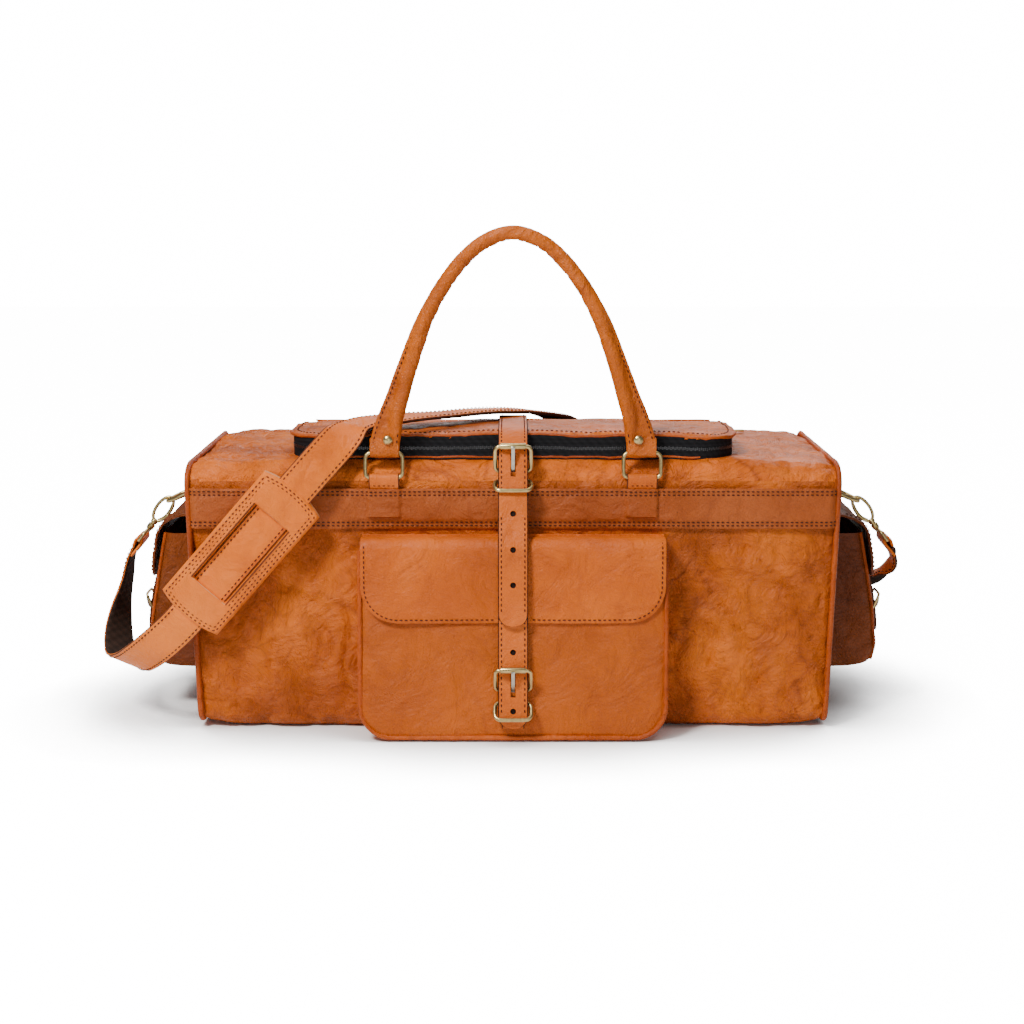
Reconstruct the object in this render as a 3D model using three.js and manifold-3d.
// Leather weekender bag (duffel) as an assembly of separate pieces, in millimetres.
// Seen from the front, +X is to the right and -X to the left. +Y is the back, +Z is up.
// Origin: centre of the bag's footprint on the floor.
import * as THREE from "three";
import { mergeVertices } from "three/addons/utils/BufferGeometryUtils.js";
import Module from "manifold-3d";

const wasm = await Module();
wasm.setup();

// ---- driving dimensions -------------------------------------------------
const BODY_W = 610;
const BODY_D = 254;
const TOP = 258; // height of the flat top panel
const SKIN = 3; // leather panel thickness
const GAP = 0.4; // clearance between neighbouring pieces
const WALL_TOP = 213.4; // top edge of the front and back panels
const STRAP_HALF = 27.6 / 2; // half width of the centre straps
const STRAP_T = 3; // thickness of the straps over the lid and down the front
const SLOT_HALF = 2.6; // half width of the slots for the prongs
const WIRE = 1.6; // buckle wire radius
const HEAVY_WIRE = 1.7; // keeper, D-ring and hook wire radius
const D_RING_PIVOT = [312, 214]; // x, z of the D-ring's straight bar

const HALF_W = BODY_W / 2;
const HALF_D = BODY_D / 2;
const INNER_X = HALF_W - SKIN - GAP; // half length of the panels between the ends
const SIDES = [[-1, "left"], [1, "right"]];

// ---- materials ----------------------------------------------------------
const material = (settings) => new THREE.MeshStandardMaterial(settings);
const leather = material({ color: 0xb5622a, roughness: 0.5, metalness: 0 });
const bandLeather = material({ color: 0x9a5032, roughness: 0.5, metalness: 0 });
const zipBlack = material({ color: 0x15161a, roughness: 0.8, metalness: 0 });
const webbing = material({ color: 0x3a2620, roughness: 0.9, metalness: 0 });
const brass = material({ color: 0xa8945c, roughness: 0.35, metalness: 1 });
const liningCloth = material({ color: 0x4a3a2c, roughness: 0.95, metalness: 0 });

const bag = new THREE.Group();

function add(name, geometry, pieceMaterial) {
  const flat = geometry.index ? geometry.toNonIndexed() : geometry;
  flat.computeVertexNormals();
  const mesh = new THREE.Mesh(flat, pieceMaterial);
  mesh.name = name;
  bag.add(mesh);
}

// ---- outlines -----------------------------------------------------------
const vec = (x, y, z) => new THREE.Vector3(x, y, z);
const X_AXIS = vec(1, 0, 0);
const Y_AXIS = vec(0, 1, 0);
const Z_AXIS = vec(0, 0, 1);

// Arc of steps + 1 points; angles in degrees.
function arc(cx, cy, r, start, sweep, steps) {
  return Array.from({ length: steps + 1 }, (_, i) => {
    const angle = ((start + (sweep * i) / steps) * Math.PI) / 180;
    return [cx + r * Math.cos(angle), cy + r * Math.sin(angle)];
  });
}

function circle(centre, r, sides = 12) {
  return Array.from({ length: sides }, (_, i) => {
    const angle = (2 * Math.PI * i) / sides;
    return [centre[0] + r * Math.cos(angle), centre[1] + r * Math.sin(angle)];
  });
}

function roundRect(halfW, halfH, r, steps = 3) {
  return [[1, 1, 0], [-1, 1, 90], [-1, -1, 180], [1, -1, 270]].flatMap(([sx, sy, start]) =>
    arc(sx * (halfW - r), sy * (halfH - r), r, start, 90, steps));
}

// Open U with rounded lower corners, from its right arm to its left.
// levels are the points down each arm. Returns [x, y, outward x, outward y].
function uPath(x, bottom, r, levels, steps) {
  const corner = (side, start) =>
    arc(0, 0, 1, start, -90, steps).map(([nx, ny]) =>
      [side * (x - r) + r * nx, bottom + r + r * ny, nx, ny]);
  return [
    ...levels.map((level) => [x, level, 1, 0]),
    ...corner(1, 0),
    ...corner(-1, 270),
    ...levels.toReversed().map((level) => [-x, level, -1, 0]),
  ];
}

// The same U closed across its top.
function uOutline(x, bottom, top, r, steps = 4) {
  return [[x, top], ...uPath(x, bottom, r, [top], steps).reverse().slice(0, -1)];
}

// Closed outline of a bent strip: a line and its offset by thickness on its left-hand side.
function strip(line, thickness) {
  const normals = line.slice(1).map((end, i) => {
    const dx = end[0] - line[i][0];
    const dy = end[1] - line[i][1];
    const length = Math.hypot(dx, dy);
    return [-dy / length, dx / length];
  });
  const offset = line.map(([x, y], i) => {
    const before = normals[Math.max(0, i - 1)];
    const after = normals[Math.min(normals.length - 1, i)];
    const mx = before[0] + after[0];
    const my = before[1] + after[1];
    const mitre = 2 / (mx * mx + my * my);
    return [x + thickness * mx * mitre, y + thickness * my * mitre];
  });
  return [...line, ...offset.reverse()];
}

const mirrored = (side, points) => points.map(([x, z]) => [side * x, z]);

// ---- solids -------------------------------------------------------------
// Indexed geometry with its faces turned outwards.
function closedGeometry(points, index) {
  let volume = 0;
  for (let i = 0; i < index.length; i += 3) {
    const [a, b, c] = [points[index[i]], points[index[i + 1]], points[index[i + 2]]];
    volume += a[0] * (b[1] * c[2] - b[2] * c[1]);
    volume -= a[1] * (b[0] * c[2] - b[2] * c[0]);
    volume += a[2] * (b[0] * c[1] - b[1] * c[0]);
  }
  if (volume < 0) {
    for (let i = 0; i < index.length; i += 3) {
      [index[i + 1], index[i + 2]] = [index[i + 2], index[i + 1]];
    }
  }
  const geometry = new THREE.BufferGeometry();
  geometry.setAttribute("position", new THREE.BufferAttribute(new Float32Array(points.flat()), 3));
  geometry.setIndex(index);
  return geometry;
}

// Skin through a list of equal-length point loops. closed joins the last loop to the first.
function loft(loops, closed = false) {
  const size = loops[0].length;
  const count = loops.length;
  const index = [];
  for (let i = 0; i < (closed ? count : count - 1); i++) {
    const a = i * size;
    const b = ((i + 1) % count) * size;
    for (let j = 0; j < size; j++) {
      const k = (j + 1) % size;
      index.push(a + j, a + k, b + k, a + j, b + k, b + j);
    }
  }
  if (!closed) {
    const last = (count - 1) * size;
    for (let j = 1; j < size - 1; j++) {
      index.push(0, j + 1, j);
      index.push(last, last + j, last + j + 1);
    }
  }
  return closedGeometry(loops.flat(), index);
}

// Outline pushed from one depth to the other, given in either order, along its own normal.
function prism(outline, from, to) {
  const shape = new THREE.Shape(outline.map((p) => new THREE.Vector2(p[0], p[1])));
  const settings = { depth: Math.abs(to - from), bevelEnabled: false };
  return new THREE.ExtrudeGeometry(shape, settings).translate(0, 0, Math.min(from, to));
}
const ALONG_X = new THREE.Matrix4().makeBasis(Y_AXIS, Z_AXIS, X_AXIS);
const ALONG_Y = new THREE.Matrix4().makeBasis(X_AXIS, Z_AXIS, vec(0, -1, 0));
const prismX = (yzOutline, x0, x1) => prism(yzOutline, x0, x1).applyMatrix4(ALONG_X);
const prismY = (xzOutline, y0, y1) => prism(xzOutline, -y0, -y1).applyMatrix4(ALONG_Y);
const prismZ = prism; // outline in (x, y)

function box(x0, x1, y0, y1, z0, z1) {
  const geometry = new THREE.BoxGeometry(Math.abs(x1 - x0), y1 - y0, z1 - z0);
  return geometry.translate((x0 + x1) / 2, (y0 + y1) / 2, (z0 + z1) / 2);
}

// Point loop round centre, in the plane of unit vectors u and v.
function sectionLoop(centre, u, v, halfU, halfV, sides, phase) {
  return Array.from({ length: sides }, (_, i) => {
    const angle = (2 * Math.PI * (i + phase)) / sides;
    return centre.clone()
      .addScaledVector(u, halfU * Math.cos(angle))
      .addScaledVector(v, halfV * Math.sin(angle))
      .toArray();
  });
}

// Closed wire loop. path is a list of [a, b] measured from centre along u and v.
function wireLoop(path, centre, u, v, r) {
  const normal = vec(0, 0, 0).crossVectors(u, v).normalize();
  const count = path.length;
  const loops = path.map((p, i) => {
    const before = path[(i + count - 1) % count];
    const after = path[(i + 1) % count];
    const da = after[0] - before[0];
    const db = after[1] - before[1];
    const length = Math.hypot(da, db);
    const point = centre.clone().addScaledVector(u, p[0]).addScaledVector(v, p[1]);
    const outward = u.clone().multiplyScalar(db / length).addScaledVector(v, -da / length);
    return sectionLoop(point, outward, normal, r, r, 6, 0.5);
  });
  return loft(loops, true);
}

// Rounded wire rectangle whose two bars run in direction across, through from and to.
function wireFrame(from, to, across, halfW, cornerR, r) {
  const centre = from.clone().add(to).multiplyScalar(0.5);
  const rise = to.clone().sub(from);
  const path = roundRect(halfW, rise.length() / 2, cornerR);
  return wireLoop(path, centre, across, rise.normalize(), r);
}

function toSolid(geometry) {
  const bare = geometry.index ? geometry.toNonIndexed() : geometry.clone();
  for (const key of Object.keys(bare.attributes)) {
    if (key !== "position") bare.deleteAttribute(key);
  }
  const merged = mergeVertices(bare, 1e-4);
  return new wasm.Manifold(new wasm.Mesh({
    numProp: 3,
    vertProperties: merged.attributes.position.array,
    triVerts: new Uint32Array(merged.index.array),
  }));
}
function fromSolid(solid) {
  const mesh = solid.getMesh();
  const stride = mesh.numProp;
  const positions = new Float32Array(mesh.numVert * 3);
  for (let i = 0; i < mesh.numVert; i++) {
    positions.set(mesh.vertProperties.subarray(i * stride, i * stride + 3), i * 3);
  }
  const geometry = new THREE.BufferGeometry();
  geometry.setAttribute("position", new THREE.BufferAttribute(positions, 3));
  geometry.setIndex(new THREE.BufferAttribute(new Uint32Array(mesh.triVerts), 1));
  return geometry;
}
const join = (...parts) => fromSolid(parts.map(toSolid).reduce((a, b) => a.add(b)));
const cut = (part, ...tools) =>
  fromSolid(tools.map(toSolid).reduce((a, b) => a.subtract(b), toSolid(part)));
const common = (a, b) => fromSolid(toSolid(a).intersect(toSolid(b)));

// ---- body panels --------------------------------------------------------
const LOOP_HALF = 13; // half width of the loop that holds each D-ring
const FLAP_LEDGE = box(-140, 140, -134.4, -HALF_D + 1, 184.6, 187.4); // root of the pocket flap
const wall = (y0, y1) => box(-INNER_X, INNER_X, y0, y1, SKIN + GAP, WALL_TOP);
add("front_panel", join(wall(-HALF_D, -HALF_D + SKIN), FLAP_LEDGE), leather);
add("back_panel", wall(HALF_D - SKIN, HALF_D), leather);
add("base_panel", box(-INNER_X, INNER_X, -HALF_D, HALF_D, 0, SKIN), leather);

// y, z over the top of the bag, front to back
const topCurve = [
  [-HALF_D, 236], [-HALF_D + 3, 247], [-HALF_D + 10, 254], [-HALF_D + 18, TOP],
  [HALF_D - 18, TOP], [HALF_D - 10, 254], [HALF_D - 3, 247], [HALF_D, 236],
];

// Each end carries the sewn-on loop that holds its D-ring.
function endPanel(side) {
  const [pivotX, pivotZ] = D_RING_PIVOT;
  const outline = [[-HALF_D, 0], [HALF_D, 0], ...topCurve.toReversed()];
  const panel = prismX(outline, side * (HALF_W - SKIN), side * HALF_W);
  const root = side * (HALF_W - 0.2);
  const plate = box(root, side * (HALF_W + 2), -LOOP_HALF, LOOP_HALF, 211, 241);
  const bridge = box(root, side * pivotX, -LOOP_HALF, LOOP_HALF, pivotZ - 1.2, pivotZ + 1.2);
  const rod = (r, halfLength) =>
    prismY(circle([side * pivotX, pivotZ], r), -halfLength, halfLength);
  return cut(join(panel, plate, bridge, rod(4.1, LOOP_HALF)), rod(2.5, LOOP_HALF + 1));
}
for (const [side, label] of SIDES) add(`end_panel_${label}`, endPanel(side), leather);

// Top panel, running down to the front and back panels, with the U-shaped zipped opening.
{
  const foot = WALL_TOP + GAP;
  const line = [[-HALF_D, foot], ...topCurve, [HALF_D, foot]];
  const opening = prismZ(uOutline(206, -107, 98, 36), TOP - 20, TOP + 20);
  add("top_panel", cut(prismX(strip(line, -SKIN), -INNER_X, INNER_X), opening), leather);
}

const band = box(-HALF_W + 2, HALF_W - 2, -HALF_D - 5.2, -HALF_D - 3.2, 195, 233);
add("front_band", band, bandLeather);

// Cloth lining: an open-topped box inside the panels.
{
  const x = HALF_W - 4;
  const y = HALF_D - 3.6;
  const floor = 3.8;
  const cloth = 1.2;
  const hollow = box(-x + cloth, x - cloth, -y + cloth, y - cloth, floor + cloth, 250);
  add("lining", cut(box(-x, x, -y, y, floor, 232), hollow), liningCloth);
}

// ---- lid ----------------------------------------------------------------
// y, z of the lid's upper face, front to back
const lidTop = [[-110, 283.2], [-106, 284], [-60, 284.2], [0, 282], [60, 274], [100, 265.2]];
function lidZ(y) {
  const i = lidTop.findIndex((point, n) => n > 0 && y <= point[0]);
  const [a, b] = [lidTop[i - 1], lidTop[i]];
  return a[1] + ((b[1] - a[1]) * (y - a[0])) / (b[0] - a[0]);
}
const lidSlab = prismX(strip(lidTop, -SKIN), -230, 230);
add("lid_panel", common(lidSlab, prismZ(uOutline(213, -110, 99, 40, 5), 240, 300)), leather);

// ---- zip ----------------------------------------------------------------
const TAPE_HALF_T = 0.8;
const ZIP_SPLIT = 0.48; // share of the tapes' height taken by the lower one
const SLIDER_Y = 76;
const tapeFoot = TOP + GAP;
const tapeHead = (y) => lidZ(y) - SKIN - 0.7;
const splitZ = (y) => tapeFoot + ZIP_SPLIT * (tapeHead(y) - tapeFoot);

// Wall along the U of the opening; low and high give its edges at each y.
function tapeWall(low, high) {
  const path = uPath(208.6, -109.4, 38, [94, 60, 0, -40], 6);
  return loft(path.map(([x, y, nx, ny]) => {
    const inner = [x - TAPE_HALF_T * nx, y - TAPE_HALF_T * ny];
    const outer = [x + TAPE_HALF_T * nx, y + TAPE_HALF_T * ny];
    return [[...inner, low(y)], [...outer, low(y)], [...outer, high(y)], [...inner, high(y)]];
  }));
}
add("zip_tape_body", tapeWall(() => tapeFoot, (y) => splitZ(y) - 0.2), zipBlack);
add("zip_tape_lid", tapeWall((y) => splitZ(y) + 0.2, tapeHead), zipBlack);

// Slider and pull on the right-hand run of the zip.
const sliderZ = splitZ(SLIDER_Y);
const slider = box(210, 213.6, SLIDER_Y - 6, SLIDER_Y + 6, sliderZ - 3, sliderZ + 3);
add("zip_slider", slider, brass);
add("zip_pull", box(214.2, 240, SLIDER_Y - 3.5, SLIDER_Y + 3.5, TOP + 0.9, TOP + 2.7), brass);

// ---- centre strap over the lid -----------------------------------------
// Lines are y, z of the strap's inner face.
const strapAlong = (line, thickness) =>
  prismX(strip(line, -thickness), -STRAP_HALF, STRAP_HALF);
const strapHoles = (heights, y0, y1) =>
  heights.map((z) => prismY(circle([0, z], 2, 8), y0, y1));

// y, clearance above the lid
const lidClearance = [[96, 0.5], [60, 0.5], [0, 0.6], [-60, 0.5], [-106, 0.5]];
const lidStrapLine = [...lidClearance.map(([y, rise]) => [y, lidZ(y) + rise]), [-111.5, 284.2]];
add("top_strap", strapAlong(lidStrapLine, STRAP_T), leather);

// The next part passes through the buckle and the keeper.
const tongueLine = [
  [-112.4, 284.0], [-119, 281.6], [-128, 276.8], [-134.2, 270],
  [-140.2, 249.5], [-142.2, 241], [-148.2, 224.4],
];
const tongueSlot = box(-SLOT_HALF, SLOT_HALF, -150, -130, 247, 268);
add("strap_tongue", cut(strapAlong(tongueLine, STRAP_T), tongueSlot), leather);

const strapEndLine = [[-148.5, 223.6], [-153, 209], [-162.9, 187], [-164.9, 178], [-169.8, 111]];
const endHoles = strapHoles([197.4, 173, 149], -180, -130);
add("strap_end", cut(strapAlong(strapEndLine, STRAP_T), ...endHoles), leather);

// ---- buckles ------------------------------------------------------------
// Bars and rollers are given as [y, z] of their axes, which run along X.
const BAR_BORE = 2.15; // radius of the roller's and the prong's bores
const TAB_HALF = 10.4; // half width of the buckle tabs
const rodX = (axis, r, x0, x1) => prismX(circle(axis, r), x0, x1);

function rollerTube(roller) {
  const half = 11.6;
  return cut(rodX(roller, 3.1, -half, half), rodX(roller, BAR_BORE, -half - 1, half + 1));
}

// Blade from just outside the bar to over the roller, with an eye ring round the bar.
function prong(bar, roller) {
  const length = Math.hypot(roller[0] - bar[0], roller[1] - bar[1]);
  const dirY = (roller[0] - bar[0]) / length;
  const dirZ = (roller[1] - bar[1]) / length;
  // distance from the bar towards the roller, distance out to the front
  const blade = [
    [0.2, 2.1], [5, 2.9], [length * 0.62, 4.2], [length - 3, 3.75], [length + 1.2, 3.75],
    [length + 1.6, 4.6], [length + 0.6, 5.4], [length - 3.4, 5.5], [length * 0.6, 6],
    [4.4, 5], [-0.6, 3.3],
  ].map(([along, out]) =>
    [bar[0] + dirY * along - dirZ * out, bar[1] + dirZ * along + dirY * out]);
  const bore = rodX(bar, BAR_BORE, -3, 3);
  const ring = cut(rodX(bar, 3.4, -1.6, 1.6), bore);
  return cut(join(ring, prismX(blade, -1.6, 1.6)), bore);
}

function addBuckle(prefix, bar, roller) {
  const frame = wireFrame(vec(0, ...bar), vec(0, ...roller), X_AXIS, 16.6, 4.4, WIRE);
  add(`${prefix}_frame`, frame, brass);
  add(`${prefix}_roller`, rollerTube(roller), brass);
  add(`${prefix}_prong`, prong(bar, roller), brass);
}

// Leather loops round the bars, joined by a strip with outline in (y, z).
// notch is y0, y1, z0, z1 of the gap for the prong.
function buckleTab(outline, bars, notch) {
  const loops = bars.map((bar) => rodX(bar, 3.7, -TAB_HALF, TAB_HALF));
  const bores = bars.map((bar) => rodX(bar, 2.2, -TAB_HALF - 1, TAB_HALF + 1));
  const looped = cut(join(prismX(outline, -TAB_HALF, TAB_HALF), ...loops), ...bores);
  return cut(looped, box(-SLOT_HALF, SLOT_HALF, ...notch));
}

// Wire keeper. rise is the y, z step from its centre to its back bar.
function keeperRing(backBar, rise, halfH) {
  const centre = vec(0, backBar[0] - rise[0], backBar[1] - rise[1]);
  const up = vec(0, ...rise).normalize();
  return wireLoop(roundRect(17, halfH, 6, 4), centre, X_AXIS, up, HEAVY_WIRE);
}

const upperBar = [-135.9, 250];
const upperKeeperBar = [-135.6, 241.2];
addBuckle("upper_buckle", upperBar, [-140.4, 273.8]);
const upperTabOutline = [
  [-127.4, 213], [-127.4, 243], [-128.4, 251.4], [-134, 252], [-134, 249], [-131.4, 248.4],
  [-131, 242.6], [-134, 242.4], [-134, 240], [-129.6, 239.4], [-129.6, 213],
];
const upperTab = buckleTab(upperTabOutline, [upperBar, upperKeeperBar], [-145, -132, 246, 260]);
add("upper_buckle_tab", upperTab, leather);
add("upper_keeper_ring", keeperRing(upperKeeperBar, [7.6, 3.4], 8.4), brass);

// ---- front pocket -------------------------------------------------------
const POCKET_X = 143; // half width
const POCKET_TOP = 181; // mouth height
const POCKET_FLAP_X = 141; // half width of the flap
const POCKET_FLAP_Z = 112; // lower edge of the flap
const pocketY = (z) => -154 - (POCKET_TOP - z) * 0.09; // outer face of the pocket

{
  const low = 2;
  const thickness = 2.4;
  const slab = prismX([
    [pocketY(POCKET_TOP), POCKET_TOP], [pocketY(low), low],
    [pocketY(low) + thickness, low], [pocketY(POCKET_TOP) + thickness, POCKET_TOP],
  ], -150, 150);
  const outline = prismY(uOutline(POCKET_X, 3, POCKET_TOP, 30), -200, -100);
  add("pocket_face", common(slab, outline), leather);
}

// Gusset: a strip along the pocket's sides and bottom, 2 thick.
{
  const path = uPath(POCKET_X - 1.2, 4.4, 29, [POCKET_TOP, 100], 5);
  const back = -HALF_D - GAP;
  add("pocket_gusset", loft(path.map(([x, z, nx, nz]) => {
    const front = pocketY(z) + 2.9;
    return [
      [x - nx, front, z - nz], [x + nx, front, z + nz],
      [x + nx, back, z + nz], [x - nx, back, z - nz],
    ];
  })), leather);
}

// Flap: folds along a line just in front of the ledge on the front panel.
{
  const line = [
    [-136, 186.8], [-145, 188.4], [-152, 187.4], [-156.8, 183.4], [-158.6, 175.4],
    [pocketY(POCKET_FLAP_Z) - 1.4, POCKET_FLAP_Z],
  ];
  const slab = prismX(strip(line, -2.4), -POCKET_FLAP_X, POCKET_FLAP_X);
  const outline = prismY(uOutline(POCKET_FLAP_X, POCKET_FLAP_Z, 200, 34), -200, -100);
  add("pocket_flap", common(slab, outline), leather);
}

const pocketStrapLine = [
  [-159.8, 183.8], [-161.5, 175.6], [-164.5, 112], [-169.8, 76],
  [-174.3, 50], [-176.2, 38], [-178, 16],
];
const pocketSlot = box(-SLOT_HALF, SLOT_HALF, -190, -150, 45.4, 67);
const pocketHoles = strapHoles([86, 31], -190, -150);
add("pocket_strap", cut(strapAlong(pocketStrapLine, 2.6), pocketSlot, ...pocketHoles), leather);

const lowerBar = [pocketY(50) - 4.3, 50];
const lowerKeeperBar = [pocketY(38) - 4.2, 38.6];
addBuckle("lower_buckle", lowerBar, [-179.4, 71.4]);
const lowerTabOutline = [
  [pocketY(12) - 0.5, 12], [pocketY(60) - 0.5, 60],
  [pocketY(60) - 2.5, 60], [pocketY(12) - 2.5, 12],
];
const lowerTab = buckleTab(lowerTabOutline, [lowerBar, lowerKeeperBar], [-185, -165, 46, 54.2]);
add("lower_buckle_tab", lowerTab, leather);
add("lower_keeper_ring", keeperRing(lowerKeeperBar, [6.4, 6.6], 9.2), brass);

// ---- carry handles ------------------------------------------------------
// face is -1 for the front handle, +1 for the back one. Both are built upright;
// the back one is then hung down behind the bag.
const HANDLE_X = 120; // leg centre
const HANDLE_TOP = 469; // arch centre height
const FOOT_HALF = 14; // half width of tabs and feet
const ROLL_R = 6.6; // rolled handle radius
const RING_BORE = 2.45; // bore round the ring's bars
const RIVET = [116, 279]; // x, z of the rivet through each foot
const RING_LOW = [131.6, 243.2]; // y, z of the ring's lower bar
const RING_HIGH = [127.6, 266.2]; // y, z of the ring's upper bar
const HANDLE_LEAN = 0.106; // outward y per unit of height
const RING_FOLD = 130; // degrees the back rings are turned
const GRIP_FOLD = 175; // degrees the back handle is turned from upright
const handleY = (z) => 127.4 + (z - RING_HIGH[1]) * HANDLE_LEAN;

// Right half from foot to crown: x, z, then half width and half thickness
// of the section where it is not the round grip's.
const handleHalf = [
  [119.4, 266.2, 14, 3.6], [119, 274, 13.8, 3.4], [116.6, 286, 13, 3.6],
  [112.6, 301, 9.5, 5.4], [106.6, 318, 7.4, 6.2],
  [98, 344], [84, 382], [74, 403], [61, 425], [44, 446], [24, 462], [0, HANDLE_TOP],
];

const shift = (y, z) => new THREE.Matrix4().makeTranslation(0, y, z);
function turnAbout([y, z], degrees) {
  const turn = new THREE.Matrix4().makeRotationX((-degrees * Math.PI) / 180);
  return shift(y, z).multiply(turn).multiply(shift(-y, -z));
}
const ringTurn = turnAbout(RING_LOW, RING_FOLD);
const hungBar = vec(0, ...RING_HIGH).applyMatrix4(ringTurn);
const gripTurn = shift(hungBar.y - RING_HIGH[0], hungBar.z - RING_HIGH[1])
  .multiply(turnAbout(RING_HIGH, GRIP_FOLD));
const hang = (geometry, face, turn) => (face > 0 ? geometry.applyMatrix4(turn) : geometry);

// Leather tab looped round the ring's lower bar.
function handleTab(face, x) {
  const bar = [face * RING_LOW[0], RING_LOW[1]];
  const y = face * (HALF_D + GAP);
  const outline = strip([[y, 208], [y, RING_LOW[1]]], -face * 2.2);
  const body = prismX(outline, x - FOOT_HALF, x + FOOT_HALF);
  const eye = rodX(bar, 3.7, x - FOOT_HALF, x + FOOT_HALF);
  return cut(join(body, eye), rodX(bar, RING_BORE, x - FOOT_HALF - 1, x + FOOT_HALF + 1));
}

function handleRing(face, x) {
  const low = vec(x, face * RING_LOW[0], RING_LOW[1]);
  const high = vec(x, face * RING_HIGH[0], RING_HIGH[1]);
  return wireFrame(low, high, X_AXIS, 17.4, 5, 1.65);
}

// Rolled handle: flat feet looped round the rings, round grip between.
function handleGrip(face) {
  const stations = [
    ...handleHalf.map(([x, ...rest]) => [-x, ...rest]),
    ...handleHalf.slice(0, -1).reverse(),
  ];
  const curve = stations.map(([x, z]) => vec(x, face * handleY(z), z));
  const planeNormal = vec(0, 1, -face * HANDLE_LEAN).normalize();
  const swell = 1.04; // makes up for the flats of the 8-sided section
  let grip = loft(stations.map(([, , halfW = ROLL_R, halfT = ROLL_R], i) => {
    const before = curve[Math.max(0, i - 1)];
    const after = curve[Math.min(curve.length - 1, i + 1)];
    const along = after.clone().sub(before).normalize();
    const thick = planeNormal.clone()
      .addScaledVector(along, -planeNormal.dot(along)).normalize();
    const wide = vec(0, 0, 0).crossVectors(thick, along).normalize();
    return sectionLoop(curve[i], wide, thick, halfW * swell, halfT * swell, 8, 0.5);
  }));
  const bar = [face * RING_HIGH[0], RING_HIGH[1]];
  for (const [side] of SIDES) {
    const x = side * HANDLE_X;
    const rivetHole = circle([side * RIVET[0], RIVET[1]], 1.9, 8);
    grip = join(grip, rodX(bar, 3.8, x - FOOT_HALF, x + FOOT_HALF));
    grip = cut(grip, rodX(bar, RING_BORE, x - FOOT_HALF - 4, x + FOOT_HALF + 4));
    grip = cut(grip, prismY(rivetHole, face * 108, face * 148));
  }
  return grip;
}

// Stem through the foot with a cap on its outer side.
function handleRivet(face, side) {
  const centre = [side * RIVET[0], RIVET[1]];
  const y = face * handleY(RIVET[1]);
  const stem = prismY(circle(centre, 1.5, 8), y - 4.9, y + 4.9);
  return join(stem, prismY(circle(centre, 4.6), y + face * 4.8, y + face * 6.6));
}

for (const [face, name] of [[-1, "front"], [1, "back"]]) {
  for (const [side, label] of SIDES) {
    const x = side * HANDLE_X;
    add(`handle_tab_${name}_${label}`, handleTab(face, x), leather);
    add(`handle_ring_${name}_${label}`, hang(handleRing(face, x), face, ringTurn), brass);
  }
  add(`handle_${name}`, hang(handleGrip(face), face, gripTurn), leather);
  for (const [side, label] of SIDES) {
    const rivet = hang(handleRivet(face, side), face, gripTurn);
    add(`handle_rivet_${name}_${label}`, rivet, brass);
  }
}

// ---- end pockets, D-rings, hooks ---------------------------------------
// Profiles are x, z on the right-hand end; side mirrors them to the left.
const END_FLAP_T = 2.4;
const pocketShell = [[HALF_W + GAP, 44], [358, 44], [340, 178], [HALF_W + GAP, 178]];
const pocketHollow = [[HALF_W - 5, 46.4], [355.6, 46.4], [337.4, 190], [HALF_W - 5, 190]];
const endFlapLine = [
  [312, 195.8], [322, 194.4], [336, 188.4], [344.4, 179.4], [348.6, 160], [352.6, 132],
];
const endStrapLine = [[350.4, 162], [354.6, 134], [360, 112], [363.8, 92], [366, 66]];
// y, z of the flap seen from the end: rounded lower corners
const endFlapOutline = [
  [66, 205], [-66, 205], [-66, 160], [-58, 143], [-40, 133],
  [-20, 129], [20, 129], [40, 133], [58, 143], [66, 160],
];

// Face and gusset as one shell, open at the top.
function endPocket(side) {
  const outer = prismY(mirrored(side, pocketShell), -66, 66);
  return cut(outer, prismY(mirrored(side, pocketHollow), -63.8, 63.8));
}

// Flap with its strap.
function endFlap(side) {
  const sheet = (line, halfW) =>
    prismY(strip(mirrored(side, line), side * END_FLAP_T), -halfW, halfW);
  const flap = common(sheet(endFlapLine, 64), prismX(endFlapOutline, side * 300, side * 380));
  const strap = cut(sheet(endStrapLine, 11), box(side * 340, side * 390, -2, 2, 96, 102));
  return join(flap, strap);
}

const endBuckle = (side) =>
  wireFrame(vec(side * 361, 0, 88), vec(side * 368.8, 0, 106), Y_AXIS, 14, 3.6, 1.4);

// Across and along the D-ring: bow, then the straight bar along Y.
const dRingPath = [
  ...arc(0, 0, 1, 0, 180, 8).map(([x, y]) => [17.5 * x, 20 + 18 * y]),
  [-17.5, 8], [-17.5, 2.5], [-15, 0], [-5, 0], [5, 0], [15, 0], [17.5, 2.5], [17.5, 8],
];

// Hook: bow through the D-ring, barrel, wide eye for the shoulder strap.
function hook(tip, direction) {
  const along = (distance) => tip.clone().addScaledVector(direction, distance);
  const across = vec(-direction.z, 0, direction.x);
  const bow = wireLoop(roundRect(7, 15, 6.4), along(12.4), across, direction, HEAVY_WIRE);
  const barrelSide = vec(0, 0, 0).crossVectors(direction, Y_AXIS).normalize();
  const barrel = loft([26.6, 38.6].map((distance) =>
    sectionLoop(along(distance), Y_AXIS, barrelSide, 3.4, 3.4, 8, 0)));
  const eye = wireLoop(roundRect(21, 6.2, 4), along(43.4), Y_AXIS, direction, HEAVY_WIRE);
  return join(bow, barrel, eye);
}

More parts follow.
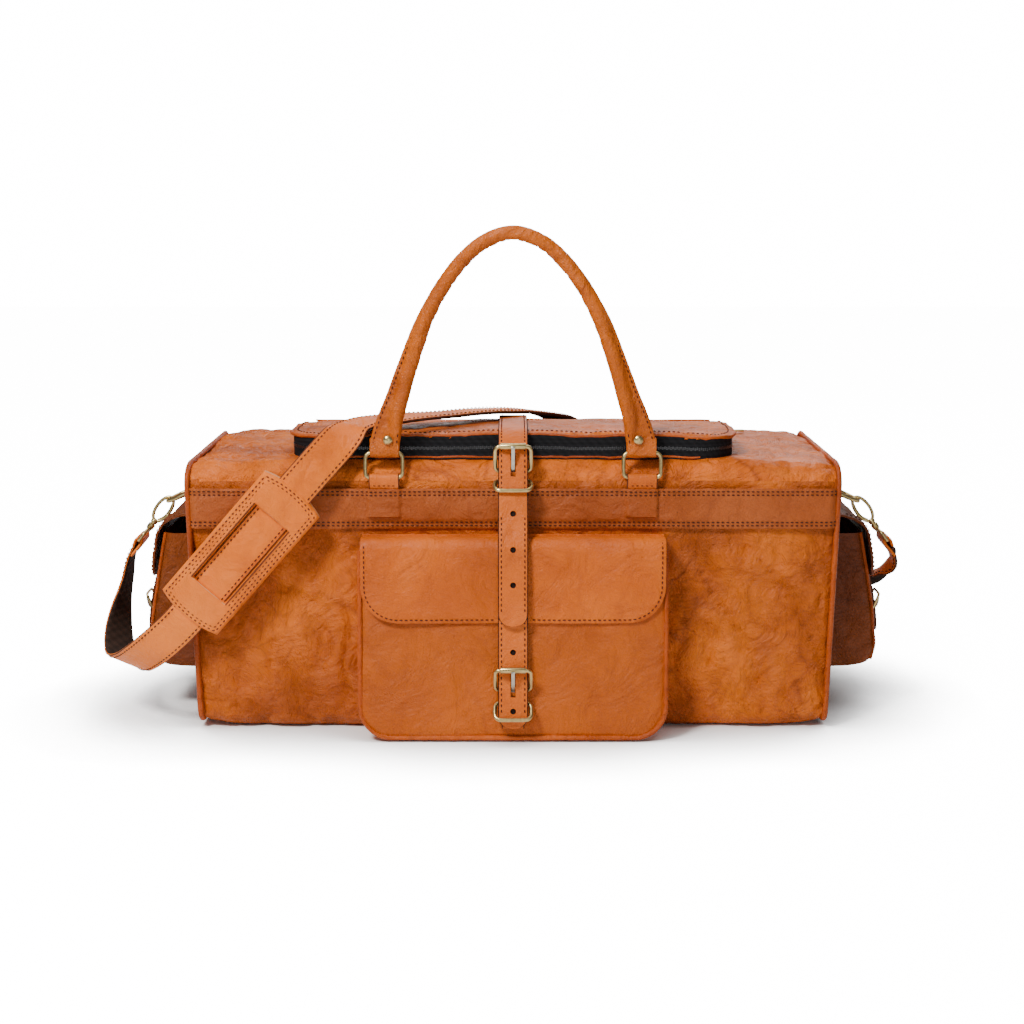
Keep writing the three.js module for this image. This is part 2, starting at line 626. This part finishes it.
for (const [side, label] of SIDES) {
  add(`end_pocket_${label}`, endPocket(side), leather);
  add(`end_flap_${label}`, endFlap(side), leather);
  add(`end_buckle_${label}`, endBuckle(side), brass);
  const pivot = vec(side * D_RING_PIVOT[0], 0, D_RING_PIVOT[1]);
  const lean = vec(side * 34.3, 0, -14.7).normalize();
  add(`d_ring_${label}`, wireLoop(dRingPath, pivot, Y_AXIS, lean, HEAVY_WIRE), brass);
  const hookTip = pivot.clone().addScaledVector(lean, 35);
  add(`hook_${label}`, hook(hookTip, vec(side * 33.7, 0, -44.3).normalize()), brass);
}

// ---- shoulder strap -----------------------------------------------------
const SHOULDER_W = 36;
const SHOULDER_T = 3.6;
const MAX_TWIST = 3; // degrees per step
const PAD_ALONG = vec(98, 0, 112).normalize();
const PAD_ACROSS = vec(0.753, 0, -0.658);
const PAD_CENTRE = vec(-252.5, -146.5, 175);

// Each station: x, y, z of the centre line, then the direction across the strap. Between
// stations the strap turns in small steps, so its two faces stay the same distance apart.
function ribbon(stations) {
  const points = stations.map(([x, y, z]) => vec(x, y, z));
  const frames = stations.map(([, , , wx, wy, wz], i) => {
    const before = points[Math.max(0, i - 1)];
    const after = points[Math.min(points.length - 1, i + 1)];
    const along = after.clone().sub(before).normalize();
    const across = vec(wx, wy, wz);
    across.addScaledVector(along, -across.dot(along)).normalize();
    const normal = vec(0, 0, 0).crossVectors(along, across).normalize();
    const third = vec(0, 0, 0).crossVectors(across, normal);
    const basis = new THREE.Matrix4().makeBasis(across, normal, third);
    return { point: points[i], turn: new THREE.Quaternion().setFromRotationMatrix(basis) };
  });
  const dense = frames.flatMap((frame, i) => {
    const next = frames[i + 1];
    if (!next) return [frame];
    const twist = (frame.turn.angleTo(next.turn) * 180) / Math.PI;
    const steps = Math.max(1, Math.ceil(twist / MAX_TWIST));
    const between = Array.from({ length: steps - 1 }, (_, j) => ({
      point: frame.point.clone().lerp(next.point, (j + 1) / steps),
      turn: frame.turn.clone().slerp(next.turn, (j + 1) / steps),
    }));
    return [frame, ...between];
  });
  return loft(dense.map(({ point, turn }) => {
    const across = X_AXIS.clone().applyQuaternion(turn);
    const normal = Y_AXIS.clone().applyQuaternion(turn);
    return [[-1, -1], [1, -1], [1, 1], [-1, 1]].map(([a, b]) =>
      point.clone()
        .addScaledVector(across, (a * SHOULDER_W) / 2)
        .addScaledVector(normal, (b * SHOULDER_T) / 2)
        .toArray());
  }));
}

// Station at a distance along the pad from its centre.
const onPad = (distance) => [
  ...PAD_CENTRE.clone().addScaledVector(PAD_ALONG, distance).toArray(),
  ...PAD_ACROSS.toArray(),
];

const shoulderParts = {
  shoulder_end_left: [
    [-378.9, 0, 156.6, 0, 1, 0],
    [-384, -1, 146, 0, 1, 0],
    [-389, -5, 120, 0.1, 1, 0],
    [-393, -18, 92, 0.3, 0.95, -0.05],
    [-392, -38, 70, 0.5, 0.8, -0.2],
    [-389.4, -50, 62, 0.56, 0.72, -0.26],
  ],
  shoulder_strap_front: [
    [-388.2, -54, 60.2, 0.57, 0.71, -0.27],
    [-383, -72, 55.6, 0.68, 0.55, -0.4],
    [-370, -98, 58, 0.76, 0.3, -0.5],
    [-353, -124, 70, 0.78, 0.12, -0.58],
    [-334, -141, 86, 0.77, 0.02, -0.62],
    onPad(-97), onPad(-40), onPad(0), onPad(40), onPad(100),
    [-176, -141.5, 262, 0.8, 0.05, -0.6],
    [-162.5, -131, 276.6, 0.86, 0.02, -0.45],
    [-153.4, -120.6, 285.6, 0.85, -0.3, -0.2],
  ],
  shoulder_strap_mid: [
    [-152, -118.6, 287.4, 0.82, -0.36, -0.12],
    [-144, -106, 290.2, 0.72, -0.6, -0.1],
    [-118, -84, 291.8, 0.58, -0.8, -0.1],
    [-70, -52, 292.2, 0.55, -0.83, 0],
    [-20, -14, 291.6, 0.6, -0.8, 0],
    [14, 20, 286.6, 0.72, -0.7, 0],
    [36, 54, 279.2, 0.85, -0.5, 0],
    [46, 84, 272.6, 0.95, -0.3, 0],
  ],
  shoulder_strap_back: [
    [52.6, 119.5, 264.2, 0.99, -0.1, 0],
    [54, 127.6, 258.6, 0.99, -0.05, 0],
    [56, 132.4, 250, 1, 0, 0.1],
    [62, 133.4, 225, 0.99, 0, 0.25],
    [76, 133.6, 186, 0.94, 0, 0.4],
    [106, 133.8, 146, 0.75, 0, 0.65],
    [156, 133.8, 114, 0.45, 0, 0.88],
    [215, 134.2, 98, 0.18, 0, 0.98],
    [272, 135.4, 92, 0.02, 0.02, 1],
    [312, 135, 93, -0.12, -0.1, 1],
    [338, 116, 97, -0.25, -0.3, 0.9],
    [358, 86, 103, -0.28, -0.7, 0.7],
    [370.6, 54, 112, -0.2, -0.9, 0.45],
    [374.6, 38.4, 118, -0.2, -0.95, 0.3],
  ],
  shoulder_end_right: [
    [375, 36.4, 119, -0.2, -0.95, 0.28],
    [380, 18, 129, -0.14, -1, 0.14],
    [384, 3, 141, 0, -1, 0],
    [379.4, 0, 155.4, 0, -1, 0],
  ],
};
for (const [name, stations] of Object.entries(shoulderParts)) {
  add(name, ribbon(stations), webbing);
}

// Shoulder pad: end plates in front of the strap, side rails beside it, a back plate behind
// it. Built with x across, y along and z to the front, then set in place.
function shoulderPad() {
  const halfL = 74;
  const halfW = 33;
  const slotEnd = 46; // inner edge of the end plates
  const railX = SHOULDER_W / 2 + 2.6; // inner face of the rails
  const face = 5.2; // outer faces, front and back
  const inner = 2.4; // inner faces, front and back
  const endPlate = (end) => {
    const bulge = Array.from({ length: 7 }, (_, i) => {
      const a = -1 + (2 * i) / 6;
      return [end * -a * halfW, end * (halfL + 6 * (1 - a * a))];
    });
    const straight = [[end * -halfW, end * slotEnd], [end * halfW, end * slotEnd]];
    return prismZ([...straight, ...bulge], inner, face);
  };
  const pad = join(
    endPlate(1),
    endPlate(-1),
    box(-halfW, -railX, -slotEnd - 1, slotEnd + 1, -face, face),
    box(railX, halfW, -slotEnd - 1, slotEnd + 1, -face, face),
    box(-halfW, halfW, -slotEnd + 3, slotEnd - 3, -face, -inner),
  );
  const place = new THREE.Matrix4().makeBasis(PAD_ACROSS, PAD_ALONG, vec(0, -1, 0));
  return pad.applyMatrix4(place.setPosition(PAD_CENTRE));
}
add("shoulder_pad", shoulderPad(), leather);

export default bag;
